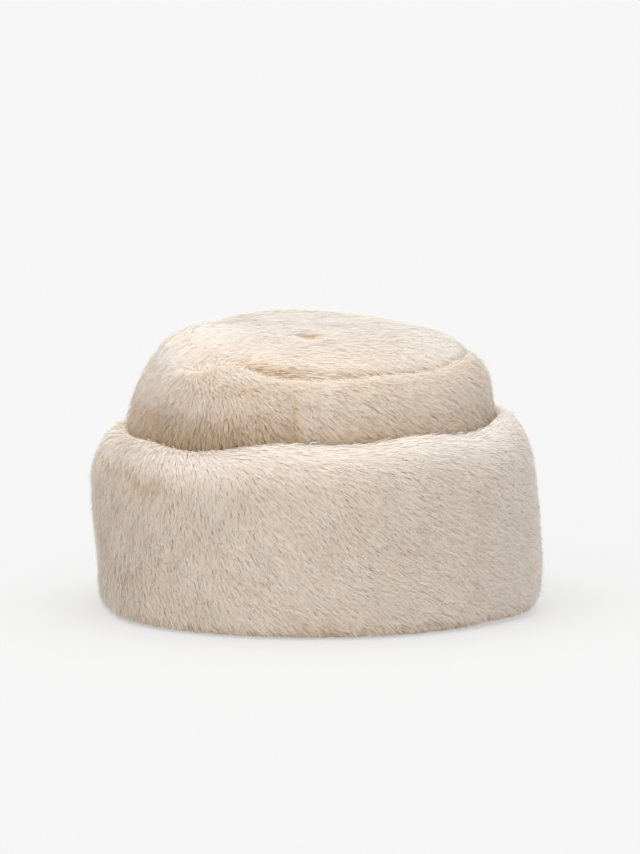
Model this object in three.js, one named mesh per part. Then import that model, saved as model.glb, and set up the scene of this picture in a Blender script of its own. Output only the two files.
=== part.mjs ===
// A cuffed fur hat, sewn from three pieces of cream fur fabric: a domed tip, a crown side band with one
// upright seam, and a deep cuff that is folded double and turned up round the crown. It stands on that fold.
// Millimetres, +Z up. A bearing is 0 at the front (-Y) and grows towards the right (+X).
import * as THREE from "three";

// Driving dimensions
const HEAD_WIDTH = 176; // the head opening is an oval: side to side
const HEAD_LENGTH = 190; // and front to back
const CUFF_HEIGHT = 104; // floor to the top of the cuff's roll, on average
const SEAM_HEIGHT = 138.6; // floor to the seam between crown side and tip, on average
const DOME_RISE = 20; // seam to the top of the tip
const WALL = 10; // one layer of fur fabric: cloth backing and combed pile
const SEW_GAP = 0.4; // left between pieces that are sewn together
const CUFF_PLAY = 2.2; // the cuff's inner layer clears the crown's pile
const CUFF_PRESS = 1.5; // the cuff's two layers are pressed together by this much

// Derived sizes. A stand is how far a point lies outside the head oval.
const CROWN_STAND = WALL + 1; // the crown's pile stands out a little more than it is thick
const LINER_STAND = CROWN_STAND + CUFF_PLAY; // the inner face of the cuff
const CUFF_STAND = LINER_STAND + 2 * WALL - CUFF_PRESS; // and its outer face
const SEAM_STAND = -3.5; // the tip is a little smaller than the head opening
const FLANGE_STAND = -9; // inner edge of the seam allowance
const FOOT_HEIGHT = 6; // the cuff's fold passes under the crown's lower edge
const SEAM_UNDER = SEAM_HEIGHT - SEW_GAP / 2; // the crown side ends here
const SEAM_OVER = SEAM_HEIGHT + SEW_GAP / 2; // and the tip starts here

// Fur. Locks overlap like shingles: each is low at its root and proud at its tip.
const LOCK_RISE = 1.7; // how far a tip stands proud of the next root
const VALLEY_SHARE = 0.25; // the part of that rise left between two locks
const LOCK_POINT = 2.4; // how far a tip hangs below its neighbours
const LOCK_LEDGE = 1.6; // height of the step under a tip
const LOCK_WIDTH = 14.5;
const ROOT_SINK = 0.3; // how deep a root lies, as a share of that rise
const TIP_LOCK_LENGTH = 24; // locks on the domed tip, along the nap
const TIP_NAP = THREE.MathUtils.degToRad(110); // bearing that the domed tip's fur is combed towards

// The domed tip, as a grid of rings. A reach is the share of the way from its centre to its seam.
const TIP_COLUMNS = 92;
const TIP_RINGS = 12; // on the fur side
const RING_CROWDING = 0.7; // a smaller power crowds more of them towards the seam
const LINING_REACHES = [0.2, 0.5, 0.74]; // rings of the bare underside
const SEAM_EDGE = 0.005; // the seam's edge slopes over this share, either side of a reach of 1
const TIP_LIP = 1.2; // the fur stands this high over the seam
const DOME_FLATNESS = 3.2; // a larger power is flatter in the middle
const DOME_SHOULDER = 0.75; // a smaller power is steeper at the seam
const LOCKS_FADE = 0.1; // share of the reach at the seam where locks are lower
const FADED_LOCK = 0.4;

// How the soft pieces have settled: each rim leans, and at its peak bearing rises this much at the head oval
const CUFF_LEAN = { rise: 4.6, peak: THREE.MathUtils.degToRad(68) };
const CROWN_LEAN = { rise: 4.8, peak: THREE.MathUtils.degToRad(205) };
const LEAN_STARTS = 60; // below this height the crown side doesn't lean

// Dents and bulges. push is outwards in millimetres, over the spans round and up the wall.
const CUFF_DENTS = [
  { bearing: 90, height: 50, spanDegrees: 55, spanHeight: 90, push: 1.8 }, // the cuff is fuller on the right
  { bearing: -90, height: 50, spanDegrees: 55, spanHeight: 90, push: -1.8 }, // than on the left
  { bearing: -88, height: 44, spanDegrees: 30, spanHeight: 24, push: 1.2 }, // belly on the left
  { bearing: -80, height: 20, spanDegrees: 26, spanHeight: 5, push: -2.2 }, // crease under the belly
  { bearing: -75, height: 4, spanDegrees: 40, spanHeight: 9, push: -2.4 }, // tucked-in left hem
  { bearing: -38, height: 92, spanDegrees: 30, spanHeight: 14, push: 1.4 }, // sagging front of the roll
  { bearing: 84, height: 96, spanDegrees: 34, spanHeight: 22, push: -2.0 }, // right wall leans in
  { bearing: 88, height: 22, spanDegrees: 30, spanHeight: 20, push: 1.4 }, // and stands out at its foot
  { bearing: 20, height: 58, spanDegrees: 26, spanHeight: 16, push: -1.0 }, // flattened front
  { bearing: 165, height: 52, spanDegrees: 34, spanHeight: 22, push: -1.2 }, // flattened back
];
const CROWN_DENTS = [
  { bearing: -4.5, height: 117, spanDegrees: 2.6, spanHeight: 22, push: -3.4 }, // upright seam
  { bearing: -26, height: 120, spanDegrees: 16, spanHeight: 13, push: 2.6 }, // full panel left of the seam
  { bearing: 34, height: 128, spanDegrees: 22, spanHeight: 7, push: -1.2 }, // softer shoulder on its right
  { bearing: 150, height: 116, spanDegrees: 30, spanHeight: 14, push: -1.4 }, // slack back
];
// Hollows of the tip, by bearing and share of the way from its centre to its seam
const TIP_DENTS = [
  { bearing: -4, reach: 0.38, span: 0.07, push: -3.2 }, // pucker in front of the centre
  { bearing: -18, reach: 0.7, span: 0.14, push: -2.0 }, // fold from the pucker to the seam
  { bearing: 60, reach: 0.55, span: 0.3, push: 0.8 }, // fuller right half
  { bearing: 190, reach: 0.5, span: 0.3, push: 0.6 }, // fuller back
];

// Outer faces, from the floor up
const CUFF_FACE = [
  { height: 0, stand: CUFF_STAND - 3.5 },
  { height: 4, stand: CUFF_STAND - 1.1 },
  { height: 22, stand: CUFF_STAND - 0.2 },
  { height: 42, stand: CUFF_STAND },
  { height: 62, stand: CUFF_STAND - 1.0 },
  { height: 78, stand: CUFF_STAND - 2.4 },
  { height: 90, stand: CUFF_STAND - 5.2 },
  { height: 98, stand: CUFF_STAND - 9.0 },
];
const CROWN_FACE = [
  { height: 7, stand: CROWN_STAND - 2 },
  { height: 60, stand: CROWN_STAND - 0.8 },
  { height: 106, stand: CROWN_STAND - 0.6 },
  { height: 118, stand: CROWN_STAND - 1.8 },
  { height: 127, stand: CROWN_STAND - 4.6 },
  { height: 133, stand: CROWN_STAND - 8.6 },
  { height: 136.6, stand: CROWN_STAND - 12.4 },
];

// Rows of locks on each outer face. A nap's slant is the bearing that a lock moves on as it falls 1 mm.
const CUFF_FUR = { from: 7, to: 91, rows: 5, slant: 0.0066 };
const CROWN_FUR = { from: 103, to: 134, rows: 3, slant: 0.0098 };

// The rest of each wall's section, in order from the top of its outer face back to the foot of it
const CUFF_ROLL_AND_LINER = [
  { height: 97, stand: CUFF_STAND - 8.6 },
  { height: 102.4, stand: CUFF_STAND - 13.6 },
  { height: CUFF_HEIGHT, stand: CUFF_STAND - 17 },
  { height: 101.5, stand: LINER_STAND + 0.8 },
  { height: 95, stand: LINER_STAND },
  { height: 50, stand: LINER_STAND },
  { height: 14, stand: LINER_STAND - 0.5 },
  { height: FOOT_HEIGHT, stand: CROWN_STAND - 1 },
  { height: FOOT_HEIGHT, stand: 1.5 },
  { height: 3, stand: 0.6 },
  { height: 0, stand: 3.5 },
  { height: 0, stand: CUFF_STAND - 4.1 },
];
const CROWN_TOP_AND_INSIDE = [
  { height: 136.2, stand: CROWN_STAND - 12.2 },
  { height: SEAM_UNDER, stand: SEAM_STAND },
  { height: SEAM_UNDER, stand: FLANGE_STAND },
  { height: 131, stand: FLANGE_STAND + 2 },
  { height: 124, stand: -4 },
  { height: 113, stand: -0.8 },
  { height: 60, stand: 0 },
  { height: FOOT_HEIGHT + SEW_GAP, stand: 1.5 },
  { height: FOOT_HEIGHT + SEW_GAP, stand: CROWN_STAND - 3 },
  { height: 30, stand: CROWN_STAND - 1.6 },
  { height: 84, stand: CROWN_STAND - 0.8 },
];

// A point of the hat, given its bearing, its stand and its height
function hatPoint(bearing, stand, height) {
  const x = (HEAD_WIDTH / 2 + stand) * Math.sin(bearing);
  const y = -(HEAD_LENGTH / 2 + stand) * Math.cos(bearing);
  return new THREE.Vector3(x, y, height);
}

// A smooth bell, 1 at the middle and almost 0 at two spans from it
function bell(away, span) {
  return Math.exp(-((away / span) ** 2));
}

// The shorter way round from one bearing to another, in degrees
function degreesBetween(bearing, degrees) {
  const away = THREE.MathUtils.radToDeg(bearing) - degrees;
  return THREE.MathUtils.euclideanModulo(away + 180, 360) - 180;
}

// How far the dents of a wall push it outwards at a place on it
function dentPush(dents, bearing, height) {
  let push = 0;
  for (const dent of dents) {
    const round = bell(degreesBetween(bearing, dent.bearing), dent.spanDegrees);
    push += dent.push * round * bell(height - dent.height, dent.spanHeight);
  }
  return push;
}

// The stand of an outer face at a height, on a smooth curve through its table
function faceStand(face, height) {
  const curve = new THREE.SplineCurve(face.map((row) => new THREE.Vector2(row.height, row.stand)));
  const last = face.length - 1;
  let low = 0;
  while (low < last - 1 && face[low + 1].height < height) low += 1;
  const share = (height - face[low].height) / (face[low + 1].height - face[low].height);
  return curve.getPoint((low + share) / last).y;
}

// Rows of locks up an outer face. Each row of locks is two rows of points, its tips and then its roots.
function lockRows(face, fur) {
  const length = (fur.to - fur.from) / fur.rows;
  const rows = [];
  for (let n = 0; n < fur.rows; n += 1) {
    const tip = fur.from + n * length;
    const root = tip + length - LOCK_LEDGE;
    rows.push({ height: tip, stand: faceStand(face, tip), end: "tip", order: n });
    rows.push({ height: root, stand: faceStand(face, root), end: "root", order: n });
  }
  return rows;
}

// How a lock moves one point of its row outwards and up. Neighbouring rows are staggered by half a lock.
function lockShift(row, column) {
  const onCrest = (column + row.order) % 2 === 0;
  if (row.end === "tip") {
    return { out: LOCK_RISE * (onCrest ? 1 : VALLEY_SHARE), up: onCrest ? -LOCK_POINT : LOCK_POINT };
  }
  // a root lies under the tips of the row above, whose crests are this row's valleys
  return { out: -ROOT_SINK * LOCK_RISE, up: onCrest ? LOCK_POINT : -LOCK_POINT };
}

// Triangles of a grid of rows, each a closed ring of columns. With wrap, the last row meets the first.
function ringTriangles(columns, rows, wrap) {
  const index = [];
  for (let r = 0; r < (wrap ? rows : rows - 1); r += 1) {
    for (let c = 0; c < columns; c += 1) {
      const next = (c + 1) % columns;
      const low = r * columns;
      const high = ((r + 1) % rows) * columns;
      index.push(low + c, low + next, high + next, low + c, high + next, high + c);
    }
  }
  return index;
}

function closedGeometry(points, index) {
  const geometry = new THREE.BufferGeometry().setFromPoints(points);
  geometry.setIndex(index);
  geometry.computeVertexNormals();
  return geometry;
}

// A wall round the head: a closed section carried round the oval, with locks on its outer face
function wallGeometry({ section, fur, dents, settle }) {
  const girth = Math.PI * (HEAD_WIDTH + HEAD_LENGTH + 2 * section[0].stand) / 2;
  const columns = 2 * Math.round(girth / LOCK_WIDTH);
  const points = [];
  for (const row of section) {
    for (let c = 0; c < columns; c += 1) {
      const shift = row.end ? lockShift(row, c) : { out: 0, up: 0 };
      const height = row.height + shift.up;
      const bearing = (2 * Math.PI * c) / columns + fur.slant * (fur.to - height);
      const dented = row.inner ? 0 : dentPush(dents, bearing, height);
      const point = hatPoint(bearing, row.stand + shift.out + dented, height);
      point.z += settle(point);
      points.push(point);
    }
  }
  return closedGeometry(points, ringTriangles(columns, section.length, true));
}

// How far a leaning rim rises at a place: a plane through the middle of the hat
function leanRise(lean, place) {
  const along = place.x * Math.sin(lean.peak) - place.y * Math.cos(lean.peak);
  return (lean.rise * along) / (HEAD_WIDTH / 2);
}

// The cuff leans by growing taller towards one side, so its foot stays flat on the floor.
function settleCuff(point) {
  return (leanRise(CUFF_LEAN, point) * point.z) / CUFF_HEIGHT;
}

function settleCrown(point) {
  return leanRise(CROWN_LEAN, point) * THREE.MathUtils.smoothstep(point.z, LEAN_STARTS, SEAM_UNDER);
}

function cuffGeometry() {
  const rest = CUFF_ROLL_AND_LINER.map((row) => {
    const inner = row.stand < LINER_STAND + CUFF_PLAY || row.height === 0;
    return { ...row, inner };
  });
  const section = [...lockRows(CUFF_FACE, CUFF_FUR), ...rest];
  return wallGeometry({ section, fur: CUFF_FUR, dents: CUFF_DENTS, settle: settleCuff });
}

function crownSideGeometry() {
  const rest = CROWN_TOP_AND_INSIDE.map((row) => ({ ...row, inner: true }));
  const section = [...lockRows(CROWN_FACE, CROWN_FUR), ...rest];
  return wallGeometry({ section, fur: CROWN_FUR, dents: CROWN_DENTS, settle: settleCrown });
}

// Fur relief of the tip: locks on a lattice that follows the nap straight across it
function tipLock(x, y) {
  const along = x * Math.sin(TIP_NAP) - y * Math.cos(TIP_NAP);
  const across = x * Math.cos(TIP_NAP) + y * Math.sin(TIP_NAP);
  const lane = across / LOCK_WIDTH;
  const stagger = Math.round(lane) % 2 === 0 ? 0 : 0.5;
  const run = THREE.MathUtils.euclideanModulo(along / TIP_LOCK_LENGTH + stagger, 1);
  const crest = Math.cos(Math.PI * (lane - Math.round(lane))) ** 2;
  return LOCK_RISE * crest * run;
}

function tipDent(bearing, reach) {
  let push = 0;
  for (const dent of TIP_DENTS) {
    const at = THREE.MathUtils.degToRad(dent.bearing);
    const away = Math.hypot(
      reach * Math.sin(bearing) - dent.reach * Math.sin(at),
      reach * Math.cos(bearing) - dent.reach * Math.cos(at),
    );
    push += dent.push * bell(away, dent.span);
  }
  return push;
}

// The domed tip's height above the seam: full in the middle and steep at the seam
function domeHeight(reach) {
  return DOME_RISE * (1 - reach ** DOME_FLATNESS) ** DOME_SHOULDER;
}

// The rings of the domed tip, from its underside, round the flat flange that lies on the crown side, and up
function tipRings() {
  const flangeReach = (HEAD_WIDTH / 2 + FLANGE_STAND) / (HEAD_WIDTH / 2 + SEAM_STAND);
  const rings = LINING_REACHES.map((reach) => ({ reach, height: domeHeight(reach) - WALL, lock: 0 }));
  rings.push({ reach: flangeReach, height: 0, lock: 0 });
  rings.push({ reach: 1 - SEAM_EDGE, height: 0, lock: 0 });
  rings.push({ reach: 1 + SEAM_EDGE, height: TIP_LIP, lock: 0 });
  for (let n = 1; n <= TIP_RINGS; n += 1) {
    const quarterTurn = (n / (TIP_RINGS + 0.5)) * (Math.PI / 2);
    const reach = Math.cos(quarterTurn) ** RING_CROWDING;
    rings.push({ reach, height: TIP_LIP + domeHeight(reach), lock: reach < 1 - LOCKS_FADE ? 1 : FADED_LOCK });
  }
  return rings;
}

function tipGeometry() {
  const rings = tipRings();
  const points = [];
  for (const ring of rings) {
    for (let c = 0; c < TIP_COLUMNS; c += 1) {
      const bearing = (2 * Math.PI * c) / TIP_COLUMNS;
      const point = hatPoint(bearing, SEAM_STAND, 0).multiplyScalar(ring.reach);
      const relief = ring.lock ? ring.lock * tipLock(point.x, point.y) + tipDent(bearing, ring.reach) : 0;
      point.z = SEAM_OVER + ring.height + relief + leanRise(CROWN_LEAN, point);
      points.push(point);
    }
  }
  const index = ringTriangles(TIP_COLUMNS, rings.length, false);
  const underPole = points.push(new THREE.Vector3(0, 0, SEAM_OVER + DOME_RISE - WALL)) - 1;
  const topPole = points.push(new THREE.Vector3(0, 0, SEAM_OVER + TIP_LIP + DOME_RISE)) - 1;
  const lastRing = (rings.length - 1) * TIP_COLUMNS;
  for (let c = 0; c < TIP_COLUMNS; c += 1) {
    const next = (c + 1) % TIP_COLUMNS;
    index.push(underPole, next, c);
    index.push(topPole, lastRing + c, lastRing + next);
  }
  return closedGeometry(points, index);
}

function furPiece(name, geometry, color) {
  const material = new THREE.MeshStandardMaterial({ color, roughness: 0.95, metalness: 0 });
  const mesh = new THREE.Mesh(geometry, material);
  mesh.name = name;
  return mesh;
}

const hat = new THREE.Group();
hat.name = "cuffed_fur_hat";
hat.add(furPiece("crown_tip", tipGeometry(), 0xece3d8));
hat.add(furPiece("crown_side", crownSideGeometry(), 0xdccdbb));
hat.add(furPiece("cuff", cuffGeometry(), 0xd8cabb));

// The origin is the middle of the footprint, on the floor.
const middle = new THREE.Box3().setFromObject(hat).getCenter(new THREE.Vector3());
for (const piece of hat.children) piece.position.set(-middle.x, -middle.y, 0);

export default hat;
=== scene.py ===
# %% [markdown]
# # A cuffed fur hat
#
# The hat is sewn from three pieces of cream fur fabric: a domed tip, a band that stands round the head, and
# a deep cuff that is folded double and turned up round the band. Their solids are loaded first, as a fixed
# frame. Everything that follows is fitted to them, in metres: a skin of cloth for each piece, and then its
# fur.

# %% Load the solids
import math

import bpy
import numpy as np
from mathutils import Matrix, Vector
from mathutils.kdtree import KDTree


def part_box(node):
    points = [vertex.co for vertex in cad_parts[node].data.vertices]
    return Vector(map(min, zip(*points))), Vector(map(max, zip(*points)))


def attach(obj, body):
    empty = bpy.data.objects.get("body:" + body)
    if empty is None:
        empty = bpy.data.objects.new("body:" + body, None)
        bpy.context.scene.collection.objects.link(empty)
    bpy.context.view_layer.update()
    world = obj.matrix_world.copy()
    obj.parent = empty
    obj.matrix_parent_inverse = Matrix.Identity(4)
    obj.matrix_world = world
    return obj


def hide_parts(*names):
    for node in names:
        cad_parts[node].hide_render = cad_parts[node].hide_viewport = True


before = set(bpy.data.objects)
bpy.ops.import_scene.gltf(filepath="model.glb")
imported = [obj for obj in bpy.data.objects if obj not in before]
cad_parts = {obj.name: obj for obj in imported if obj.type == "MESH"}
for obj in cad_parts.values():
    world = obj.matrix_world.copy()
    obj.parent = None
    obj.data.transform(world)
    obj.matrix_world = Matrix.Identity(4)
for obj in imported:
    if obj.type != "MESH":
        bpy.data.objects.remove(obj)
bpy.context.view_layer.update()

# %% [markdown]
# A hat is made for a head, so the head's oval is what its sizes are taken from. The band's fur wall is as
# thick as FUR_WALL, so the oval lies that far inside the band's own box. A place on the hat is then given
# by three numbers: a bearing, which is 0 degrees at the front and grows to the right, a stand, which is how
# far it lies outside the oval, and a height above the floor.

# %% Measure the frame
MM = 0.001
FUR_WALL = 12 * MM
side_low, side_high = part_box("crown_side")
_, tip_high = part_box("crown_tip")
_, cuff_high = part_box("cuff")
crown_middle = (side_low + side_high) / 2
head_half = (side_high - side_low) / 2 - Vector((FUR_WALL, FUR_WALL, 0))


def hat_point(bearing, stand, height):
    """The point at a bearing in degrees, and a stand and height in millimetres."""
    turn = math.radians(bearing)
    across = (head_half.x + stand * MM) * math.sin(turn)
    along = -(head_half.y + stand * MM) * math.cos(turn)
    return Vector((crown_middle.x + across, crown_middle.y + along, height * MM))


print(f"head oval {2 * head_half.x / MM:.0f} by {2 * head_half.y / MM:.0f} mm")
print(f"cuff {cuff_high.z / MM:.0f} mm high, crown {tip_high.z / MM:.0f} mm high")

# %% [markdown]
# The camera comes first, because every later choice is judged through it. The picture was taken with a long
# lens from far away and a little above the hat, so that the cuff's foot shows as a shallow curve. The lens
# is worked out from how much of the scene the frame holds at the hat.

# %% Camera
CAMERA_FAR = 5.0
CAMERA_RISE = math.radians(7.15)
FRAME_TALL = 0.464  # metres of the scene from the frame's bottom to its top, at the hat
AIM = Vector((2 * MM, 0, 98.8 * MM))
SENSOR = 36.0
bpy.ops.object.select_all(action="DESELECT")
camera_place = AIM + CAMERA_FAR * Vector((0, -math.cos(CAMERA_RISE), math.sin(CAMERA_RISE)))
bpy.ops.object.camera_add(location=camera_place, rotation=(math.pi / 2 - CAMERA_RISE, 0, 0))
camera = bpy.context.object
camera.data.sensor_width = SENSOR
camera.data.lens = SENSOR * CAMERA_FAR / FRAME_TALL
camera.data.clip_end = 100
bpy.context.scene.camera = camera
print(f"lens {camera.data.lens:.0f} mm")

# %% [markdown]
# The studio is a pale floor that runs far behind the hat, under soft light from above and from the front. A
# sun lamp with a very wide angle is a soft light that is equally bright all over the floor, which a lamp
# near the hat wouldn't be. The floor is a light table, which glows, so that the shadow round the hat is as
# faint as in the picture.

# %% Studio
FLOOR_SIZE = 40.0
SKY_LIGHT = 0.38
LIGHTS = [  # name, strength, degrees from upright towards the front
    ("top_light", 2.7, -4), ("front_light", 1.95, 65),
]
LIGHT_TURN = -14  # degrees round the upright axis: the front light comes a little from the left
LIGHT_WIDTH = 90  # degrees of the sky that each light fills
FLOOR_PAINT = 0.26
FLOOR_GLOW = 0.494
bpy.ops.object.select_all(action="DESELECT")
bpy.ops.mesh.primitive_plane_add(size=FLOOR_SIZE)
floor = bpy.context.object
floor.name = "floor"
floor_paint = bpy.data.materials.new("floor_paint")
floor_paint.use_nodes = True
floor_shader = floor_paint.node_tree.nodes["Principled BSDF"]
floor_shader.inputs["Base Color"].default_value = (FLOOR_PAINT, FLOOR_PAINT, FLOOR_PAINT, 1)
floor_shader.inputs["Roughness"].default_value = 0.9
floor_shader.inputs["Emission Color"].default_value = (1, 1, 1, 1)
floor_shader.inputs["Emission Strength"].default_value = FLOOR_GLOW
floor.data.materials.append(floor_paint)
world = bpy.data.worlds.new("studio")
world.use_nodes = True
world.node_tree.nodes["Background"].inputs["Strength"].default_value = SKY_LIGHT
world.node_tree.nodes["Background"].inputs["Color"].default_value = (1, 1, 1, 1)
bpy.context.scene.world = world
for name, strength, tilt in LIGHTS:
    aim = (math.radians(tilt), 0, math.radians(LIGHT_TURN))
    bpy.ops.object.light_add(type="SUN", location=(0, 0, 3), rotation=aim)
    lamp = bpy.context.object
    lamp.name = name
    lamp.data.energy = strength
    lamp.data.angle = math.radians(LIGHT_WIDTH)
bpy.context.scene.view_settings.view_transform = "Standard"
print("floor and lights are set")

# %% [markdown]
# Each skin is drawn up from a circle, ring by ring, as a potter draws up a wall: the ring is extruded,
# resized and lifted, over and over, up the outside and down the inside. The last ring is then bridged to
# the first, which closes the wall. A ring is given by its stand and height, and by whether fur grows from
# it.

# %% Helper: a wall drawn up ring by ring
COLUMNS = 120


def start_ring(name):
    bpy.ops.object.select_all(action="DESELECT")
    bpy.ops.mesh.primitive_circle_add(vertices=COLUMNS, radius=1)
    piece = bpy.context.object
    piece.name = piece.data.name = name
    bpy.ops.object.mode_set(mode="EDIT")
    bpy.ops.mesh.select_all(action="SELECT")
    return piece


def draw_up(rings):
    """Extrudes the selected ring through (half width, half length, height), in metres, round the axis."""
    width, length, height = 1, 1, 0
    for order, (to_width, to_length, to_height) in enumerate(rings):
        if order:
            bpy.ops.mesh.extrude_edges_move()
        bpy.ops.transform.resize(value=(to_width / width, to_length / length, 1), center_override=(0, 0, 0))
        bpy.ops.transform.translate(value=(0, 0, to_height - height))
        width, length, height = to_width, to_length, to_height


def select_open_edges():
    bpy.ops.mesh.select_all(action="DESELECT")
    bpy.ops.mesh.select_mode(type="EDGE")
    bpy.ops.mesh.select_non_manifold(
        extend=False, use_wire=False, use_boundary=True, use_multi_face=False,
        use_non_contiguous=False, use_verts=False)


def finish_rings():
    """Turns the faces outwards and moves the piece from the axis to the crown's own middle."""
    bpy.ops.mesh.select_all(action="SELECT")
    bpy.ops.mesh.normals_make_consistent(inside=False)
    bpy.ops.transform.translate(value=(crown_middle.x, crown_middle.y, 0))
    bpy.ops.object.mode_set(mode="OBJECT")


def give_sides(piece, furry):
    """Faces between two furry rings take material slot 0, and the rest slot 1. Bands are made in order."""
    for face in piece.data.polygons:
        band = face.index // COLUMNS
        both = band + 1 < len(furry) and furry[band] and furry[band + 1]
        face.material_index = 0 if both else 1


def oval(stand, height):
    return head_half.x + stand * MM, head_half.y + stand * MM, height * MM


print("wall helpers are ready")

# %% [markdown]
# Soft cloth doesn't stand straight. A rim that leans is a shear, which has no operator without a window, so
# it is worked out on the arrays. A dent is a push with proportional editing, as a thumb makes it: the
# nearest point goes all the way and its neighbours less. One level of subdivision then smooths the skin.

# %% Helper: lean, dents and smoothing
def get_points(piece):
    flat = np.empty(3 * len(piece.data.vertices))
    piece.data.vertices.foreach_get("co", flat)
    return flat.reshape(-1, 3)


def lean(piece, rise, peak, starts, ends):
    """Lifts the piece towards a bearing, by rise in millimetres at the oval, between two heights."""
    points = get_points(piece)
    turn = math.radians(peak)
    across = (points[:, 0] - crown_middle.x) * math.sin(turn)
    along = across - (points[:, 1] - crown_middle.y) * math.cos(turn)
    share = np.clip((points[:, 2] / MM - starts) / (ends - starts), 0, None)
    points[:, 2] += rise * MM * share * along / head_half.x
    piece.data.vertices.foreach_set("co", points.ravel())
    piece.data.update()


def press(piece, bearing, stand, height, push, span, lift=0):
    """Moves the skin outwards by push and up by lift at a place, in millimetres, fading out at the span."""
    place = hat_point(bearing, stand, height)
    outward = (place - hat_point(bearing, stand - 1, height)).normalized()
    way = outward * push * MM + Vector((0, 0, lift * MM))
    points = get_points(piece)
    nearest = int(np.argmin(np.linalg.norm(points - np.array(place), axis=1)))
    bpy.ops.object.select_all(action="DESELECT")
    piece.select_set(True)
    bpy.context.view_layer.objects.active = piece
    bpy.ops.object.mode_set(mode="EDIT")
    bpy.ops.mesh.select_all(action="DESELECT")
    bpy.ops.mesh.select_mode(type="VERT")
    bpy.ops.object.mode_set(mode="OBJECT")
    piece.data.vertices[nearest].select = True
    bpy.ops.object.mode_set(mode="EDIT")
    bpy.ops.transform.translate(
        value=way, use_proportional_edit=True,
        proportional_edit_falloff="SMOOTH", proportional_size=span * MM)
    bpy.ops.object.mode_set(mode="OBJECT")


def smooth_skin(piece):
    bpy.ops.object.select_all(action="DESELECT")
    piece.select_set(True)
    bpy.context.view_layer.objects.active = piece
    soften = piece.modifiers.new("soften", "SUBSURF")
    soften.levels = soften.render_levels = 1
    bpy.ops.object.modifier_apply(modifier=soften.name)
    bpy.ops.object.shade_smooth()
    print(piece.name, "has", len(piece.data.polygons), "faces")


print("dent helpers are ready")

# %% [markdown]
# The crown side is the band round the head. On the real hat it is one strip of fur fabric, closed by an
# upright seam left of the middle of the front, where the fabric is pulled in, and full beside it. Its lower
# part is behind the cuff. The skin lies a pile's depth inside the fur's own outline. A cylinder could be
# pushed into this shape, but rings give each height its own stand from the start, and the dents are then
# few.

# %% Crown side skin
CROWN_LEAN = {"rise": 0.6, "peak": 205, "starts": 60, "ends": 138}
SEAM = -7.5  # the upright seam's bearing
SIDE_RINGS = [  # stand, height, furry
    (5.0, 7.0, False), (5.6, 40, False), (5.9, 72, False), (6.0, 80, True), (6.2, 96, True), (6.1, 106, True),
    (5.6, 114, True), (4.4, 120.5, True), (2.6, 126, True), (0.0, 130.8, True), (-2.6, 134.6, True),
    (-4.0, 136.2, True), (-4.9, 136.6, True), (-5.5, 135.6, False), (-5.8, 134, False), (-7.2, 129, False),
    (-4.6, 123, False), (-1.2, 113, False), (0.0, 60, False), (1.5, 7.0, False),
]
SEAM_HEIGHTS = (104, 110, 116, 122, 128)
SIDE_DENTS = [  # bearing, stand, height, push, span, lift
    (-26, 6, 116, 3.0, 26, 0),  # the left panel is full beside the seam,
    (-44, 6, 112, 1.6, 22, 0),
    (-34, -1, 133, 0.4, 28, 5.6),  # where its upper edge is a raised lobe,
    (-80, -1, 133, -3.6, 38, 2.6),  # and it is drawn in at the left shoulder
    (78, -1, 133, 1.2, 46, 2.8),  # the right shoulder stands up and out
    (-92, 6, 104, 2.2, 26, 0),
    (34, 4, 126, -1.0, 26, 0),
    (2, -4, 136, 0, 34, -1.4),  # the upper edge sags in the middle
    (150, 6, 116, -1.4, 40, 0),
]
side_skin = start_ring("crown_side_skin")
draw_up([oval(stand, height) for stand, height, furry in SIDE_RINGS])
select_open_edges()
bpy.ops.mesh.bridge_edge_loops()
finish_rings()
give_sides(side_skin, [furry for stand, height, furry in SIDE_RINGS])
for seam_height in SEAM_HEIGHTS:
    press(side_skin, SEAM, 5, seam_height, push=-2.0, span=8)
    press(side_skin, SEAM - 7, 6, seam_height, push=0.9, span=11)
for dent in SIDE_DENTS:
    press(side_skin, *dent)
lean(side_skin, **CROWN_LEAN)
smooth_skin(side_skin)

# %% [markdown]
# The tip is a round of the same fabric, eased into the band so that it domes. It has the same rings, but
# they are shares of the way from its middle to its seam, and its two ends close at a pole: the small holes
# are filled, and each filled face is poked into a fan. Half a sphere would be too round, so a formula gives
# the height of each ring: flat in the middle, and round at the edge.

# %% Crown tip skin
TIP_STAND = -6.0  # the tip's own edge
TIP_EDGE = 135.4
DOME_RISE = 19.4
DOME_FLAT = 3.5  # the more, the flatter the middle
DOME_ROUND = 0.75  # the less, the rounder the edge
TIP_CLOTH = 6.0
UNDER_REACHES = (0.05, 0.2, 0.4, 0.6, 0.78, 0.89)
TIP_RIM = [(0.965, -1.4), (0.997, -1.2), (1.0, -0.2)]  # reach, height above the tip's edge
FUR_REACHES = (0.985, 0.96, 0.92, 0.86, 0.78, 0.68, 0.56, 0.43, 0.3, 0.17, 0.05)
TIP_DENTS = [  # bearing, stand, height, push, span, lift
    (-4, -46, 154, 0, 13, -2.6),  # the pucker,
    (-18, -30, 152, 0, 16, -1.6),  # and a hollow in front of it
    (80, -11, 144, 1.0, 46, 4.0),  # the tip swells to the right,
    (180, -38, 150, 0, 70, 2.0),  # to the back,
    (-130, -38, 150, 0, 56, 2.6),
    (-84, -12, 144, 0, 42, 7.0),  # and most to the left, where it hides the seam
]


def dome(reach):
    """Height of the dome's fur side at a share of the way from the middle to the seam."""
    return TIP_EDGE + DOME_RISE * (1 - reach ** DOME_FLAT) ** DOME_ROUND


def tip_oval(reach, height):
    width, length, _ = oval(TIP_STAND, 0)
    return width * reach, length * reach, height * MM


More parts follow.
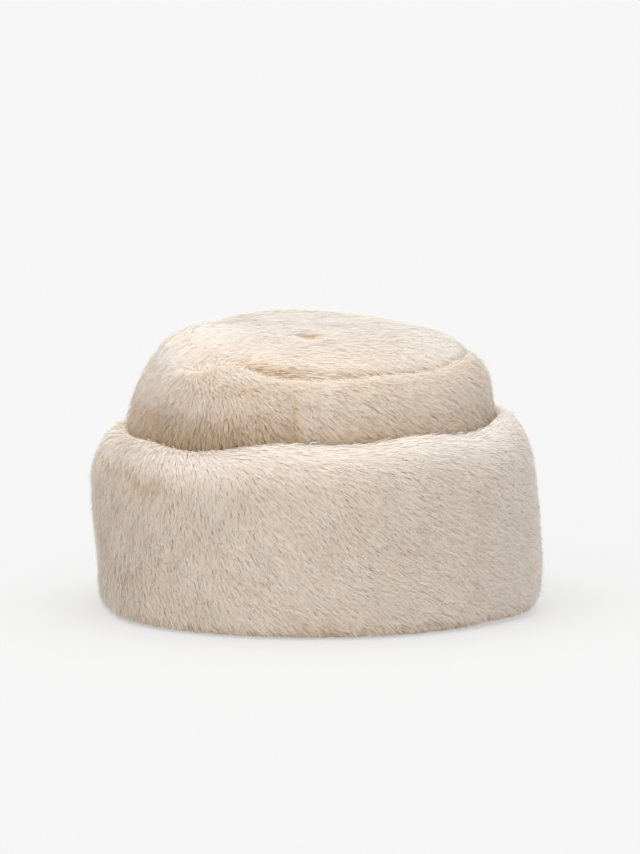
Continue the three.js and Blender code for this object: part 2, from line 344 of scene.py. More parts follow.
under_rings = [tip_oval(reach, dome(reach) - TIP_CLOTH) for reach in UNDER_REACHES]
rim_rings = [tip_oval(reach, TIP_EDGE + above) for reach, above in TIP_RIM]
fur_rings = [tip_oval(reach, dome(reach)) for reach in FUR_REACHES]
tip_skin = start_ring("crown_tip_skin")
draw_up(under_rings + rim_rings + fur_rings)
select_open_edges()
bpy.ops.mesh.fill_holes(sides=0)
bpy.ops.mesh.select_mode(type="FACE")
bpy.ops.object.mode_set(mode="OBJECT")
for face in tip_skin.data.polygons:
    face.select = len(face.vertices) == COLUMNS
bpy.ops.object.mode_set(mode="EDIT")
bpy.ops.mesh.poke()
finish_rings()
for face in tip_skin.data.polygons:
    face.material_index = 0 if face.normal.z > 0 and face.center.z > TIP_EDGE * MM else 1
for dent in TIP_DENTS:
    press(tip_skin, *dent)
lean(tip_skin, **CROWN_LEAN)
smooth_skin(tip_skin)

# %% [markdown]
# The cuff is a wide strip folded double and turned up, so it is the thickest and plumpest piece: the hat
# stands on its fold, its face bellies out a little, and its top rolls over towards the crown. Its right
# side stands higher than its left. One wall is drawn round both layers, because nothing shows between them.

# %% Cuff skin
CUFF_LEAN = {"rise": 4.6, "peak": 68, "starts": 0, "ends": 104}
CUFF_RINGS = [  # stand, height, furry
    (6.0, 3.0, True), (14.0, 2.2, True), (22.0, 2.3, True), (25.4, 4.0, True), (26.9, 9.0, True),
    (27.6, 16, True), (28.0, 30, True), (28.2, 46, True), (28.0, 62, True), (27.3, 76, True),
    (25.7, 86, True), (23.0, 94, True), (19.8, 98.8, True), (16.0, 101.0, True), (12.8, 101.2, True),
    (10.8, 99.0, True), (10.6, 90, True), (12.0, 80, True), (13.6, 50, False), (13.4, 14, False),
    (11.0, 7.4, False), (3.0, 7.0, False), (2.2, 4.5, False),
]
CUFF_DENTS = [  # bearing, stand, height, push, span, lift
    (90, 27, 50, 2.2, 110, 0),  # the right side bellies out,
    (-90, 27, 50, -2.4, 110, 0),  # the left side is flatter,
    (-88, 25, 80, 3.0, 60, 0),  # but it is full under the roll,
    (-80, 27, 20, -1.4, 26, 0),
    (-75, 25, 4, -2.0, 45, 0),  # and drawn in at the fold
    (-38, 21, 92, 1.4, 45, 0),
    (84, 21, 94, -1.4, 60, 0),
    (88, 27, 20, 2.4, 50, 0),  # on the right the fold stands out
    (20, 27, 58, -1.0, 50, 0),
    (165, 27, 52, -1.2, 60, 0),
    (72, 26, 8, 3.6, 40, 0),
    (104, 26, 8, 5.0, 40, 0),
    (-94, 19, 99, 2.2, 52, 3.8),  # the roll is high and wide at the left,
    (-96, 11, 99, -4.5, 34, 0),
    (-36, 15, 101, 0, 46, -4.0),  # and dips along the front
    (12, 15, 101, 0, 50, -2.8),
    (53, 14, 103, 0, 50, -4.0),
]
cuff_skin = start_ring("cuff_skin")
draw_up([oval(stand, height) for stand, height, furry in CUFF_RINGS])
select_open_edges()
bpy.ops.mesh.bridge_edge_loops()
finish_rings()
give_sides(cuff_skin, [furry for stand, height, furry in CUFF_RINGS])
for dent in CUFF_DENTS:
    press(cuff_skin, *dent)
lean(cuff_skin, **CUFF_LEAN)
smooth_skin(cuff_skin)

# %% [markdown]
# Finishes are node trees, and their arithmetic reads best as arithmetic. The class below wraps a socket: an
# operator on it adds a Math node, and any other node comes from its node method, which takes the node's
# type, its settings and what its sockets get.

# %% Helper: sockets that can be added and multiplied
class Wire:
    def __init__(self, tree, socket=None):
        self.tree = tree
        self.socket = socket

    def node(self, kind, settings=None, sockets=None, out=0):
        made = self.tree.nodes.new(kind)
        for name, value in (settings or {}).items():
            if name == "stops":
                for place, _ in value[1:-1]:
                    made.color_ramp.elements.new(place)
                for stop, (_, colour) in zip(made.color_ramp.elements, value):
                    stop.color = (*colour, 1)
            else:
                setattr(made, name, value)
        for name, value in (sockets or {}).items():
            if isinstance(value, Wire):
                self.tree.links.new(value.socket, made.inputs[name])
            else:
                made.inputs[name].default_value = value
        return Wire(self.tree, made.outputs[out])

    def maths(self, operation, first, second):
        return self.node("ShaderNodeMath", {"operation": operation}, {0: first, 1: second})

    def __add__(self, other):
        return self.maths("ADD", self, other)

    def __sub__(self, other):
        return self.maths("SUBTRACT", self, other)

    def __rsub__(self, other):
        return self.maths("SUBTRACT", other, self)

    def __mul__(self, other):
        return self.maths("MULTIPLY", self, other)

    __radd__ = __add__
    __rmul__ = __mul__


def new_finish(name):
    material = bpy.data.materials.new(name)
    material.use_nodes = True
    return material, Wire(material.node_tree), material.node_tree.nodes["Principled BSDF"]


def mixed(wire, share, first, second):
    """A colour between two, by a share. The colours are sockets 6 and 7 of the Mix node."""
    return wire.node(
        "ShaderNodeMix", {"data_type": "RGBA"}, {"Factor": share, 6: first, 7: second}, out=2)


print("socket arithmetic is ready")

# %% [markdown]
# The backing cloth shows only inside the hat. It is a fine knit, whose small loops lie side by side like
# cells, so a cell pattern gives their bump, and clouds of noise change the colour a little. Under the fur,
# the same cloth is tan, as the roots are.

# %% Finish: backing cloth
LOOP_DEEP = 0.4 * MM


def cloth_finish(name, light, dark):
    material, wire, shader = new_finish(name)
    place = wire.node("ShaderNodeTexCoord", out=3)  # Object coordinates
    cloud = wire.node("ShaderNodeTexNoise", {}, {"Vector": place, "Scale": 60.0, "Detail": 4.0})
    shade = mixed(wire, cloud, (*dark, 1), (*light, 1))
    wire.tree.links.new(shade.socket, shader.inputs["Base Color"])
    loops = wire.node("ShaderNodeTexVoronoi", {}, {"Vector": place, "Scale": 900.0})
    bump = wire.node("ShaderNodeBump", {}, {"Strength": 0.4, "Distance": 1.0, "Height": LOOP_DEEP * loops})
    wire.tree.links.new(bump.socket, shader.inputs["Normal"])
    shader.inputs["Roughness"].default_value = 0.95
    shader.inputs["Specular IOR Level"].default_value = 0.2
    return material


under_fur = cloth_finish("under_fur", light=(0.84, 0.73, 0.60), dark=(0.72, 0.60, 0.47))
backing = cloth_finish("knit_backing", light=(0.80, 0.74, 0.66), dark=(0.68, 0.61, 0.53))
for skin in (side_skin, tip_skin, cuff_skin):
    skin.data.materials.append(under_fur)
    skin.data.materials.append(backing)
print("cloth finishes:", under_fur.name, backing.name)

# %% [markdown]
# A hair is tan at its root and cream at its tip, and no two hairs are quite alike. Each strand's own UV map
# holds both: v runs from root to tip, and u is the strand's tone, from dark to light. A strand whose v
# stops early never gets to the cream. The finish needs nothing else, so it is the same wherever the strand
# grows. Thin hairs let light through, so half of the finish does that, and the gaps between the strands
# stay soft.

# %% Finish: cream fur
ROOT_TONES = [
    (0, (0.44, 0.28, 0.15)), (0.25, (0.66, 0.50, 0.35)), (0.45, (0.85, 0.74, 0.61)), (1, (0.96, 0.91, 0.84)),
]
TIP_TONES = [
    (0, (0.78, 0.60, 0.41)), (0.2, (0.87, 0.73, 0.585)), (0.34, (0.91, 0.80, 0.70)),
    (0.46, (0.92, 0.845, 0.745)), (0.58, (0.945, 0.865, 0.79)), (0.75, (0.955, 0.905, 0.845)),
    (1, (0.985, 0.96, 0.93)),
]
THROUGH = (0.98, 0.945, 0.90)  # light that a hair lets through
THROUGH_SHARE = 0.5


def fur_finish(name):
    material, wire, shader = new_finish(name)
    strand_map = wire.node("ShaderNodeUVMap", {"uv_map": "OFBake"})
    tone = wire.node("ShaderNodeSeparateXYZ", {}, {0: strand_map}, out=0)
    along = Wire(wire.tree, tone.socket.node.outputs[1])
    root = wire.node("ShaderNodeValToRGB", {"stops": ROOT_TONES}, {0: tone})
    tip = wire.node("ShaderNodeValToRGB", {"stops": TIP_TONES}, {0: tone})
    rise = wire.node("ShaderNodeMapRange", {"interpolation_type": "SMOOTHSTEP"},
                     {"Value": along, "From Min": 0.05, "From Max": 0.75})
    colour = mixed(wire, rise, root, tip)
    wire.tree.links.new(colour.socket, shader.inputs["Base Color"])
    shader.inputs["Roughness"].default_value = 0.6
    shader.inputs["Specular IOR Level"].default_value = 0.25
    shader.inputs["Sheen Weight"].default_value = 0.35
    shader.inputs["Sheen Roughness"].default_value = 0.5
    through = wire.node("ShaderNodeBsdfTranslucent", {}, {"Color": (*THROUGH, 1)})
    surface = Wire(wire.tree, shader.outputs[0])
    lit = wire.node("ShaderNodeMixShader", {}, {0: THROUGH_SHARE, 1: surface, 2: through})
    wire.tree.links.new(lit.socket, wire.tree.nodes["Material Output"].inputs["Surface"])
    return material


cream_fur = fur_finish("cream_fur")
print("fur finish:", cream_fur.name)

# %% [markdown]
# Fur is far too many small things to model one by one, so its strands are made as arrays and joined into
# meshes. First comes where they grow: points scattered over the furry faces of a skin, each with the skin's
# normal there. Chance alone would leave bald gaps and clumps, so the points go by even steps, with only a
# little chance in them. Extruding numbers the faces differently in each run, so they are first put in order
# along a slanting line. Without that the seeds would give other strands each time.

# %% Helper: scatter roots over a skin
EVEN_STEPS = (0.7548776662, 0.5698402910)  # steps that spread points evenly over a square
STEP_CHANCE = 0.12
SLANT = (0.61, 0.35, 1.0)  # a direction that leaves hardly any two triangles level with each other
RIPPLE_WAVES = 12


def furry_triangles(skin):
    """Corner points and corner normals of the triangles in slot 0, as two arrays of shape (n, 3, 3)."""
    mesh = skin.data
    mesh.calc_loop_triangles()
    corners = np.empty(3 * len(mesh.loop_triangles), dtype=np.int64)
    slots = np.empty(len(mesh.loop_triangles), dtype=np.int64)
    mesh.loop_triangles.foreach_get("vertices", corners)
    mesh.loop_triangles.foreach_get("material_index", slots)
    normals = np.empty(3 * len(mesh.vertices))
    mesh.vertices.foreach_get("normal", normals)
    corners = corners.reshape(-1, 3)[slots == 0]
    points = get_points(skin)
    corners = corners[np.argsort(points[corners].mean(axis=1) @ SLANT)]
    return points[corners], normals.reshape(-1, 3)[corners]


def unit(vectors):
    return vectors / np.maximum(np.linalg.norm(vectors, axis=1, keepdims=True), 1e-12)


def scatter(skin, density, rng):
    """Roots and their normals, density of them to a square metre."""
    corners, normals = furry_triangles(skin)
    areas = np.linalg.norm(np.cross(corners[:, 1] - corners[:, 0], corners[:, 2] - corners[:, 0]), axis=1) / 2
    count = int(areas.sum() * density)
    steps = (np.arange(count) + rng.random(count)) / count
    chosen = np.searchsorted(np.cumsum(areas) / areas.sum(), steps)
    chosen = np.minimum(chosen, len(areas) - 1)
    first = (np.arange(count) * EVEN_STEPS[0] + STEP_CHANCE * rng.random(count)) % 1
    second = (np.arange(count) * EVEN_STEPS[1] + STEP_CHANCE * rng.random(count)) % 1
    fold = first + second > 1
    first[fold], second[fold] = 1 - first[fold], 1 - second[fold]
    shares = np.stack([1 - first - second, first, second], axis=1)[:, :, None]
    return (shares * corners[chosen]).sum(axis=1), unit((shares * normals[chosen]).sum(axis=1))


def ripple(points, size, seed):
    """A smooth random field over the hat, about 1 at its highest, with hills as far apart as size."""
    rng = np.random.default_rng(seed)
    ways = unit(rng.normal(size=(RIPPLE_WAVES, 3))) * (2 * math.pi / size)
    ways = ways * rng.uniform(0.6, 1.5, (RIPPLE_WAVES, 1))
    waves = np.sin(points @ ways.T + rng.uniform(0, 2 * math.pi, RIPPLE_WAVES))
    return waves.sum(axis=1) / math.sqrt(2 * RIPPLE_WAVES)


print("scatter is ready")

# %% [markdown]
# A strand is a thin blade: it rises from its root, bends over with the nap and ends in a point. Neighbours
# cling together in locks, so each tip is drawn part of the way to the tip of the strand in the middle of
# its lock. The blade's faces are turned outwards, and all its corners are shaded with one normal, so that
# the coat looks like one soft surface. Its UV map holds its tone and the way along it. The strand's ripe is
# 1 where it gets to the cream of its tip, and less where it stays tan: that is painted shade, in seams,
# creases, the parting and at the hem.

# %% Helper: strands as one mesh
BEND = 0.5  # where a strand bends and is widest, as a share of its length
BLADE = 0.21 * MM  # half a strand's width there
SLIVER = 0.004  # width of a strand in its UV map
FLOOR_CLEAR = 0.3 * MM


def gather(points, tips, share, rng):
    """The way from each tip to the tip of the strand in the middle of its lock."""
    middles = rng.choice(len(points), max(1, int(len(points) * share)), replace=False)
    tree = KDTree(len(middles))
    for index in middles:
        tree.insert(points[index], int(index))
    tree.balance()
    nearest = np.array([tree.find(point)[1] for point in points])
    return tips[nearest] - tips


def strand_points(roots, normals, nap, lean_root, lean_tip, length):
    """Bend and tip of each strand. A lean is the angle from the normal towards the nap, in radians."""
    rising = normals * np.cos(lean_root)[:, None] + nap * np.sin(lean_root)[:, None]
    lying = normals * np.cos(lean_tip)[:, None] + nap * np.sin(lean_tip)[:, None]
    bends = roots + rising * (BEND * length)[:, None]
    return bends, bends + lying * ((1 - BEND) * length)[:, None]


def strand_mesh(name, roots, bends, tips, normals, lit, tone, ripe, wide, rng, turn):
    """A piece of strands, two triangles each. turn is how much the blades twist, in radians."""
    count = len(roots)
    ahead = unit(tips - roots)
    flat = unit(np.cross(ahead, normals))
    twist = rng.normal(0, turn, count)[:, None]
    side = flat * np.cos(twist) + np.cross(ahead, flat) * np.sin(twist)
    across = side * (BLADE * wide * rng.uniform(0.7, 1.3, count))[:, None]
    points = np.stack([roots, bends - across, bends + across, tips], axis=1)
    points[:, :, 2] = np.maximum(points[:, :, 2], FLOOR_CLEAR)
    corners = np.array([[0, 2, 1], [1, 2, 3]])
    faces = (4 * np.arange(count))[:, None, None] + corners
    mesh = bpy.data.meshes.new(name)
    mesh.from_pydata(points.reshape(-1, 3), [], faces.reshape(-1, 3), shade_flat=False)
    shading = mesh.attributes.new("custom_normal", "FLOAT_VECTOR", "POINT")
    shading.data.foreach_set("vector", np.repeat(lit, 4, axis=0).ravel())
    uv = np.empty((count, 4, 2))
    uv[:, :, 0] = np.clip(tone, 0.02, 0.98)[:, None] + SLIVER * np.array([0.0, -0.5, 0.5, 0.0])
    uv[:, :, 1] = ripe[:, None] * np.array([0.01, BEND, BEND, 0.99])
    layer = mesh.uv_layers.new(name="OFBake")
    layer.data.foreach_set("uv", uv[:, corners.ravel()].ravel())
    mesh.materials.append(cream_fur)
    piece = bpy.data.objects.new(name, mesh)
    bpy.context.scene.collection.objects.link(piece)
    print(name, "has", count, "strands and", len(mesh.polygons), "faces")
    return piece


print("strand helper is ready")

# %% [markdown]
# A coat is all the strands of one skin, as arrays with a row for each strand. It is made in the order in
# which a furrier works: roots, comb, bend, locks and tint. The nap is the way that the fur lies. On a wall
# it is an angle below the level, pointing to the right, so two directions of the skin give it: around, the
# way of growing bearings, and down.

# %% Helper: a coat of fur
FUR_DENSITY = 2.4e6  # strands to a square metre
STRAY_LEAN = 16  # how much less a stray strand leans than the nap
ROOT_LEAN = 52  # degrees from upright of a strand's lower half
TIP_LEAN = 74  # and of its upper half
MOST_LEAN = 88  # an upper half that leaned more would sink into the skin
CUFF_PILE = 9  # length of the strands, in millimetres
CROWN_PILE = 8.5


def from_table(table, where):
    places, values = zip(*table)
    return np.interp(where, places, values)


class Coat:
    def __init__(self, skin, seed, density=FUR_DENSITY, strays=0.05):
        self.rng = np.random.default_rng(seed)
        self.seed = 10 * seed
        self.roots, self.normals = scatter(skin, density, self.rng)
        self.count = len(self.roots)
        self.wide = np.ones(self.count)
        self.ripe = np.ones(self.count)
        self.stray = STRAY_LEAN * (self.rng.random(self.count) < strays)
        across, ahead = self.roots[:, 0] - crown_middle.x, crown_middle.y - self.roots[:, 1]
        self.bearing = np.degrees(np.arctan2(across, ahead))
        self.height = self.roots[:, 2] / MM
        turn = np.radians(self.bearing)
        self.outward = np.stack([np.sin(turn), -np.cos(turn), np.zeros(self.count)], axis=1)
        level = np.stack([np.cos(turn), np.sin(turn), np.zeros(self.count)], axis=1)
        self.around = unit(level - self.normals * (level * self.normals).sum(axis=1, keepdims=True))
        self.down = np.cross(self.around, self.normals)
        # Fur that faces the floor is shaded as if it faced outwards, or the hem would go dark.
        self.lit = unit(self.normals + self.outward * np.clip(-self.normals[:, 2:], 0, 1))

    def uneven(self, size, shared, own):
        """A random change of each strand, partly shared with neighbours within size and partly its own."""
        self.seed += 1
        return shared * ripple(self.roots, size, self.seed) + self.rng.normal(0, own, self.count)

    def spot(self, bearing, height, wide, tall):
        """1 at a place on a wall, fading to 0 around it. Sizes are in degrees and millimetres."""
        away = (self.bearing - bearing + 180) % 360 - 180
        return np.exp(-((away / wide) ** 2) - ((self.height - height) / tall) ** 2)

    def comb(self, angle):
        way = np.radians(angle)[:, None]
        self.nap = self.around * np.cos(way) + self.down * np.sin(way)

    def bend(self, root_lean, tip_lean, length):
        """Leans are degrees from upright, at the root and the tip. length is in millimetres."""
        leans = np.radians(root_lean - self.stray), np.radians(np.minimum(tip_lean, MOST_LEAN) - self.stray)
        self.bends, self.tips = strand_points(self.roots, self.normals, self.nap, *leans, length * MM)

    def cling(self, share, pull):
        """Draws tips together in locks. share is how many of the strands are in the middle of one."""
        pulls = np.broadcast_to(pull, self.count)[:, None]
        self.tips += gather(self.roots, self.tips, share, self.rng) * pulls

    def mesh(self, name, chosen=slice(None), turn=0.2):
        return strand_mesh(
            name, self.roots[chosen], self.bends[chosen], self.tips[chosen], self.normals[chosen],
            self.lit[chosen], self.tone[chosen], self.ripe[chosen], self.wide[chosen], self.rng, turn)


print("coat helper is ready")

# %% [markdown]
# The cuff's fur falls straight down on the left and sweeps more and more to the right towards the right
# side. On the roll it lies smooth along the rim, with a few loose strands on the crest, and on the rim's
# inner side it is short. At the hem, where the hat stands on it, it is of uneven length, and low on the
# right it is parted along a line that climbs to the back. Real fur is combed with a brush. Here tables of
# the nap by bearing do it, which can be read and changed.

# %% Cuff fur, combed and bent
HIGH_NAP = [  # bearing, nap high on the cuff's face
    (-180, 60), (-135, 80), (-90, 97), (-60, 88), (-40, 84), (-22, 61), (-10, 46), (0, 42), (20, 38),
    (45, 34), (90, 30), (135, 42), (180, 60),
]
LOW_NAP = [  # and low on it
    (-180, 60), (-135, 75), (-90, 95), (-70, 84), (-50, 63), (-37, 50), (-19, 41), (0, 36), (28, 31),
    (90, 30), (135, 42), (180, 60),
]
ROLL_NAP = [  # and on the roll
    (-180, 30), (-120, 60), (-80, 85), (-50, 75), (-34, 50), (-22, 12), (0, 2), (60, 0), (90, 8),
    (135, 18), (180, 30),
]
PARTING = [(38, 2.0), (52, 3.0), (66, 5.0), (80, 9.0), (95, 16.0), (110, 22.0)]  # bearing, height
PARTING_ENDS = [(38, 0), (52, 1), (100, 1), (115, 0)]  # bearing, how clear it is
coat = Coat(cuff_skin, seed=11)
on_roll = np.clip((coat.normals[:, 2] - 0.15) / 0.5, 0, 1)
inner = np.clip(-3 * (coat.normals * coat.outward).sum(axis=1), 0, 1) * (coat.height > 20)
under = np.clip(-2 * coat.normals[:, 2] - 0.4, 0, 1)
hem = from_table([(2, 1), (11, 0)], coat.height)
above_parting = coat.height - from_table(PARTING, coat.bearing)
at_right = from_table(PARTING_ENDS, coat.bearing)
parted = np.exp(-((above_parting / 1.6) ** 2)) * at_right
high = from_table([(30, 0), (72, 1)], coat.height)
angle = from_table(LOW_NAP, coat.bearing) * (1 - high) + from_table(HIGH_NAP, coat.bearing) * high
angle = angle + 16 * hem
angle = angle * (1 - on_roll) + from_table(ROLL_NAP, coat.bearing) * on_roll
smooth = 1 - 0.6 * np.maximum(on_roll, inner)
coat.comb(angle * (1 - inner) + (coat.uneven(0.045, 9, 0) + coat.uneven(0.012, 7, 10)) * smooth)
crest = np.exp(-((coat.normals[:, 2] - 1) / 0.3) ** 2)
loose = coat.rng.random(coat.count) < 0.06 * crest
flat = 22 * on_roll + 16 * inner - 14 * loose
coat.stray = coat.stray * (1 - on_roll)
coat.bend(
    root_lean=ROOT_LEAN + flat + coat.uneven(0.03, 6, 6) * smooth,
    tip_lean=TIP_LEAN + flat + coat.uneven(0.02, 6, 6) * smooth,
    length=CUFF_PILE * coat.rng.uniform(0.75 - 0.3 * hem, 1.15, coat.count) * (1 - 0.4 * under)
    * (1 - 0.4 * inner) * (1 - 0.5 * parted))
coat.cling(0.10, pull=0.24 - 0.2 * on_roll + 0.29 * hem)
coat.cling(0.02, pull=0.12 - 0.10 * on_roll)
coat.wide = 1 + 0.5 * np.maximum(on_roll, inner)
print("cuff coat has", coat.count, "strands")

# %% [markdown]
# Tint comes last. The right side is pale, and the roll and its inner side are paler: on the roll this
# is partly painted light, where it faces the lamp above. The hem and the fur on the underside stay brown,
# which is painted shade where the hat stands on the floor. The parting, where the roots show, is brown
# too, partly painted shade of its crack. High on the left, just under the roll, a few golden marks are
# partly golden tone and partly painted shade of the roll above them, and low on the left a few golden
# marks are where the fur opens and its roots come through. Their edges are ragged, because whole strands
# are tinted and not all of them. Each quarter of the cuff is a piece of its own, which keeps the meshes
# small.

# %% Cuff fur, tinted
# The marks at 81 to 88 mm, just under the roll, are partly golden tone and partly painted shade of the roll
# above.
CUFF_MARKS = [  # bearing, height, width in degrees, height in millimetres, how much darker
    (-69, 88, 6, 2.6, 0.56), (-58, 86, 6, 2.4, 0.60), (-47, 82, 6, 3, 0.50), (-58, 81, 14, 4, 0.22),
    (-63, 29, 9, 2.0, 0.42), (-54, 30, 5, 1.8, 0.36), (-76, 26, 8, 2.4, 0.40), (-66, 96, 2.2, 2.2, 0.6),
]
PALE_RIGHT = [(15, 0), (65, 1), (120, 1), (150, 0)]  # bearing, how much paler
# Painted shade: most strands at the hem and on the underside are brown where the hat stands on the floor.
hem_shade = coat.rng.random(coat.count) < 0.85 * np.maximum(hem, under)
coat.ripe = 1 - np.maximum(0.55 * hem_shade, 0.7 * parted)
# The roll's paler tone is partly painted light, where the roll faces the lamp above.
coat.tone = 0.44 + 0.34 * np.maximum(on_roll, inner) - 0.52 * hem_shade
coat.tone += 0.2 * from_table(PALE_RIGHT, coat.bearing)
# The parting's dark tone is partly its tan roots and partly painted shade of its crack.
coat.tone += at_right * from_table([(-6, 0.2), (-2, 0.2), (0, 0)], above_parting) - 0.5 * parted
marked = coat.rng.random(coat.count) < 0.7
ragged = coat.uneven(0.025, 4, 1.5)
for bearing, height, wide, tall, darker in CUFF_MARKS:
    coat.tone -= darker * coat.spot(bearing, height + ragged, wide, tall) * marked
coat.tone += (coat.uneven(0.012, 0.06, 0.04) + coat.uneven(0.05, 0.05, 0)) * smooth
cuff_fur = []
for quarter, middle in (("front", 0), ("right", 90), ("back", 180), ("left", -90)):
    inside = np.abs((coat.bearing - middle + 180) % 360 - 180) <= 45
    cuff_fur.append(coat.mesh(f"cuff_fur_{quarter}", inside))

# %% [markdown]
# The band's fur fans out on the left of its seam, where the fabric bulges, and is combed down to the right
# on the other side of it. A fan has no one direction, so pins with a nap of their own are put on the left
# panel, and the nap between them is blended. Low on the left the fur is longer and stands out, in locks
# over the roll. Along the upper edge it is short, with more strays, so that the seam below the tip isn't a
# hard line.

# %% Crown side fur, combed and bent
SIDE_NAP = [  # bearing, nap
    (-180, 60), (-130, 90), (-100, 114), (SEAM - 1, 114), (SEAM + 0.5, 44), (20, 38), (50, 42), (75, 60),
    (90, 66), (135, 60), (180, 60),
]
SECTOR = 3  # degrees of a slice in which the band's top is looked up
NAP_PINS = [  # bearing and height of a place on the left panel, and the nap there
    (-100, 115, 114), (-66, 115, 120), (-57, 135, 118), (-52, 114, 110), (-39, 120, 92), (-28, 121, 70),
    (-76, 132, 118), (-28, 132, 15), (-19, 123, 40), (-11, 122, 20), (-15, 109, 55), (-36, 138, 12),
    (-18, 137, 6), (-33, 100, 88), (-9, 104, 48),
]


def pinned_nap(coat):
    """The nap between the pins: each counts more the nearer it is."""
    total = weights = 0
    for bearing, height, nap in NAP_PINS:
        across = (coat.bearing - bearing) * math.radians(head_half.y / MM)
        weight = 1 / (across ** 2 + (coat.height - height) ** 2 + 20)
        total = total + weight * nap
        weights = weights + weight
    return total / weights


coat = Coat(side_skin, seed=12)
fluffed = np.maximum(coat.spot(-50, 106, 22, 12), coat.spot(-24, 106, 15, 11))
golden = coat.spot(-25, 130, 9, 4.5)
lobe = np.maximum(coat.spot(-27, 138, 13, 3.5), coat.spot(-66, 140, 36, 16))
on_seam = coat.spot(SEAM, 118, 1.4, 30)
sectors = ((coat.bearing + 180) / SECTOR).astype(int)
tops = np.zeros(360 // SECTOR + 1)
np.maximum.at(tops, sectors, coat.height)
below_top = tops[sectors] - coat.height
rim = np.exp(-((below_top / 3.5) ** 2))
rim *= from_table([(-125, 1), (-105, 0), (-35, 0), (-18, 1)], coat.bearing)
at_top = from_table([(0.6, 1), (1.8, 0)], below_top) * rim
at_top *= from_table([(-30, 0), (-18, 1), (30, 1), (60, 0.5), (100, 0)], coat.bearing)
foot = from_table([(98, 0), (102, 1), (110, 1), (117, 0)], coat.height)
foot *= from_table([(-100, 0), (-75, 1), (-12, 1), (0, 0.6)], coat.bearing)
on_left = from_table([(-115, 0), (-90, 1), (SEAM - 1, 1), (SEAM, 0)], coat.bearing)
angle = from_table(SIDE_NAP, coat.bearing) * (1 - 0.7 * rim) * (1 - on_left)
angle = angle + pinned_nap(coat) * on_left
coat.comb(angle + coat.uneven(0.04, 6, 0) + coat.uneven(0.012, 7, 10))
coat.stray = np.where(coat.rng.random(coat.count) < 0.25 * rim, 24, coat.stray)
coat.bend(
    root_lean=ROOT_LEAN - 12 * fluffed - 12 * foot + 8 * lobe + coat.uneven(0.03, 6, 6),
    tip_lean=TIP_LEAN - 12 * fluffed - 10 * foot + 6 * lobe + coat.uneven(0.02, 6, 6),
    length=CROWN_PILE * coat.rng.uniform(0.75, 1.15, coat.count)
    * (1 - 0.2 * on_seam - 0.3 * rim - 0.3 * at_top + 0.5 * foot))
coat.cling(0.08, pull=0.28 + 0.25 * fluffed)
coat.cling(0.02, pull=0.12 + 0.06 * fluffed)
print("crown side coat has", coat.count, "strands")

# %% [markdown]
# The band is the darkest piece, partly painted shade where the cuff shades it. It darkens further down
# towards the cuff, which is painted shade. It is darker in the locks, which show their tan roots and are
# partly painted shade, and along the upright seam, which is partly a tan line and partly painted shade of
# the full left panel beside it. The lobes of its upper edge on the left are pale, which is painted light
# where they catch the lamp.

# %% Crown side fur, tinted
# Painted shade: darker low down, where the cuff shades the band.
low_shade = from_table([(100, 1), (122, 0)], coat.height)
on_right = from_table([(SEAM, 0), (SEAM + 10, 1), (120, 1), (140, 0)], coat.bearing)
# The dark base tone is partly painted shade of the cuff, the seam and the locks are partly painted shade, and
# the pale lobes are painted light.
coat.tone = 0.34 + 0.04 * rim - 0.16 * on_seam - 0.2 * fluffed - 0.14 * golden + 0.44 * lobe
coat.tone += 0.09 * on_right - (0.3 + 0.14 * on_right) * low_shade
# Painted shade: along the upright seam the strands stay partly tan.
coat.ripe = 1 - 0.22 * on_seam
coat.tone += coat.uneven(0.012, 0.06, 0.07) + coat.uneven(0.05, 0.05, 0)
side_fur = coat.mesh("crown_side_fur")

# %% [markdown]
# The tip's fur is combed across to the right, near the front a little forwards, and lies flatter than the
# rest. At the seam it is trimmed, as a furrier would trim it, so that it doesn't hang over the band. Only on
# the left it is brushed outwards and over the seam. In the pucker and along the front of the seam the
# strands are shorter than elsewhere.

# %% Crown tip fur, combed and bent
TIP_NAP = [(-90, -22), (-60, -10), (-20, 6), (90, 6)]  # millimetres behind the origin, turn of the comb
CREASE_ENDS = [(-62, 0), (-48, 0.5), (-36, 1), (60, 1), (80, 0.6), (95, 0)]  # bearing, how clear it is
TIP_DENSITY = 3e6  # strands to a square metre
FLAT_ROOT_LEAN = 75
FLAT_TIP_LEAN = 87
TRIM = 1.04  # how far the fur may reach, as a share of the way from the tip's middle to its seam


def tip_reach(points):
    width, depth, _ = oval(TIP_STAND, 0)
    return np.hypot((points[:, 0] - crown_middle.x) / width, (points[:, 1] - crown_middle.y) / depth)


def tip_spot(coat, across, along, wide, deep):
    """1 at a place on the tip, fading to 0 around it, in millimetres."""
    sideways = (coat.roots[:, 0] / MM - across) / wide
    lengthways = (coat.roots[:, 1] / MM - along) / deep
    return np.exp(-sideways ** 2 - lengthways ** 2)


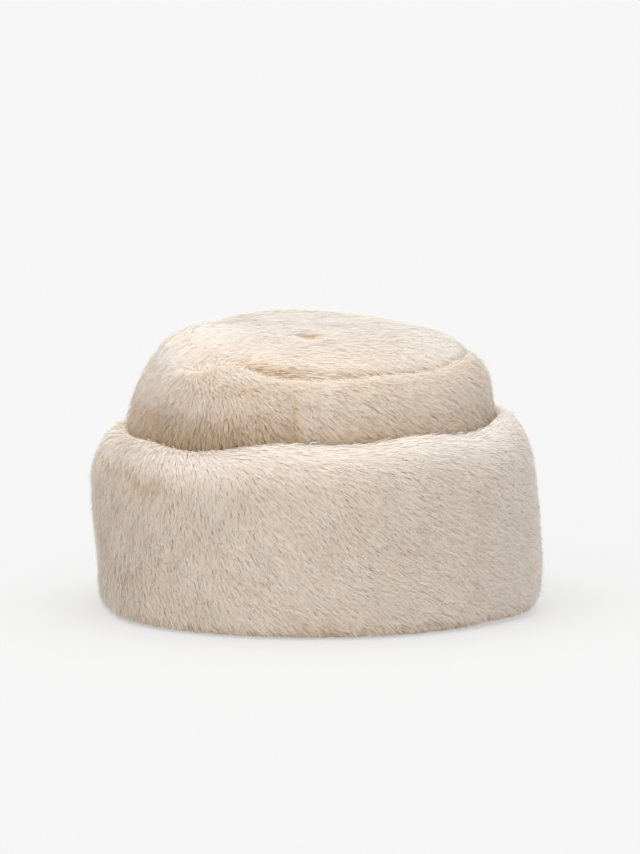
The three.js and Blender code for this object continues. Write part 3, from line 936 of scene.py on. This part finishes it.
coat = Coat(tip_skin, seed=13, density=TIP_DENSITY, strays=0.01)
reach = tip_reach(coat.roots)
at_left = from_table([(-130, 0), (-110, 1), (-50, 1), (-36, 0)], coat.bearing)
over_left = coat.rng.random(coat.count) < at_left * from_table([(0.82, 0), (0.97, 1)], reach)
turn = from_table(TIP_NAP, coat.roots[:, 1] / MM)
turn = np.radians(turn + coat.uneven(0.05, 5, 0) + coat.uneven(0.014, 4, 6))
combed = np.stack([np.cos(turn), np.sin(turn), np.zeros(coat.count)], axis=1)
combed = np.where(over_left[:, None], coat.outward, combed)
coat.nap = unit(combed - coat.normals * (combed * coat.normals).sum(axis=1, keepdims=True))
leans = FLAT_ROOT_LEAN + coat.uneven(0.03, 3, 4), FLAT_TIP_LEAN + coat.uneven(0.02, 2, 2)
parted = tip_spot(coat, -11, -43, 6, 4)
edge = from_table([(0.925, 0), (0.975, 1)], reach) * (coat.rng.random(coat.count) < 0.9)
edge *= from_table(CREASE_ENDS, coat.bearing)
length = CROWN_PILE * coat.rng.uniform(0.75, 1.15, coat.count) * (1 - 0.7 * parted) * (1 - 0.5 * edge)
coat.bend(*leans, length)
tip_at = tip_reach(coat.tips)
trim = TRIM + 0.15 * over_left + coat.rng.normal(0, 0.025, coat.count)
kept = np.where(tip_at > trim, (trim - reach) / np.maximum(tip_at - reach, 1e-6), 1)
coat.bend(*leans, length * np.clip(kept, 0.35, 1))
coat.cling(0.10, pull=0.25 * ~over_left)
coat.wide *= 1.3
print("crown tip coat has", coat.count, "strands")

# %% [markdown]
# The tip is the palest piece, partly painted light on its top, which faces the lamp above. It is darker
# towards the front, which is painted shade, and in the pucker. Along the front of the seam the short
# strands stay tan, which is painted shade that draws the crease.

# %% Crown tip fur, tinted
# Painted shade: the places where the crease along the front of the seam is darkest.
CREASE_SHADE_SPOTS = [(-48, -69), (-34, -77), (-20, -83)]  # where the crease is darkest, in millimetres
# Painted shade: darker towards the front of the tip.
front = from_table([(-80, 1), (-30, 0)], coat.roots[:, 1] / MM)
pucker = tip_spot(coat, -7, -43, 5, 4)
crease_shade = sum(tip_spot(coat, across, along, 9, 5) for across, along in CREASE_SHADE_SPOTS)
# The pale base tone is partly painted light on the top, which faces the lamp above.
coat.tone = 0.94 - 0.4 * front - pucker - 0.24 * crease_shade - 0.28 * edge
# Painted shade: the short strands along the front of the seam stay tan.
coat.ripe = 1 - 0.6 * edge
coat.tone += coat.uneven(0.012, 0.05, 0.07) + coat.uneven(0.05, 0.03, 0)
tip_fur = coat.mesh("crown_tip_fur", turn=0.1)

# %% [markdown]
# Every piece rides on the hat's one body. The skins stand for the solids, which stay hidden. The cuff is
# two layers of plush.

# %% Tie the pieces to the frame
for skin, node in ((tip_skin, "crown_tip"), (side_skin, "crown_side"), (cuff_skin, "cuff")):
    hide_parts(node)
for piece in (tip_skin, side_skin, cuff_skin, tip_fur, side_fur, *cuff_fur):
    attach(piece, "root")
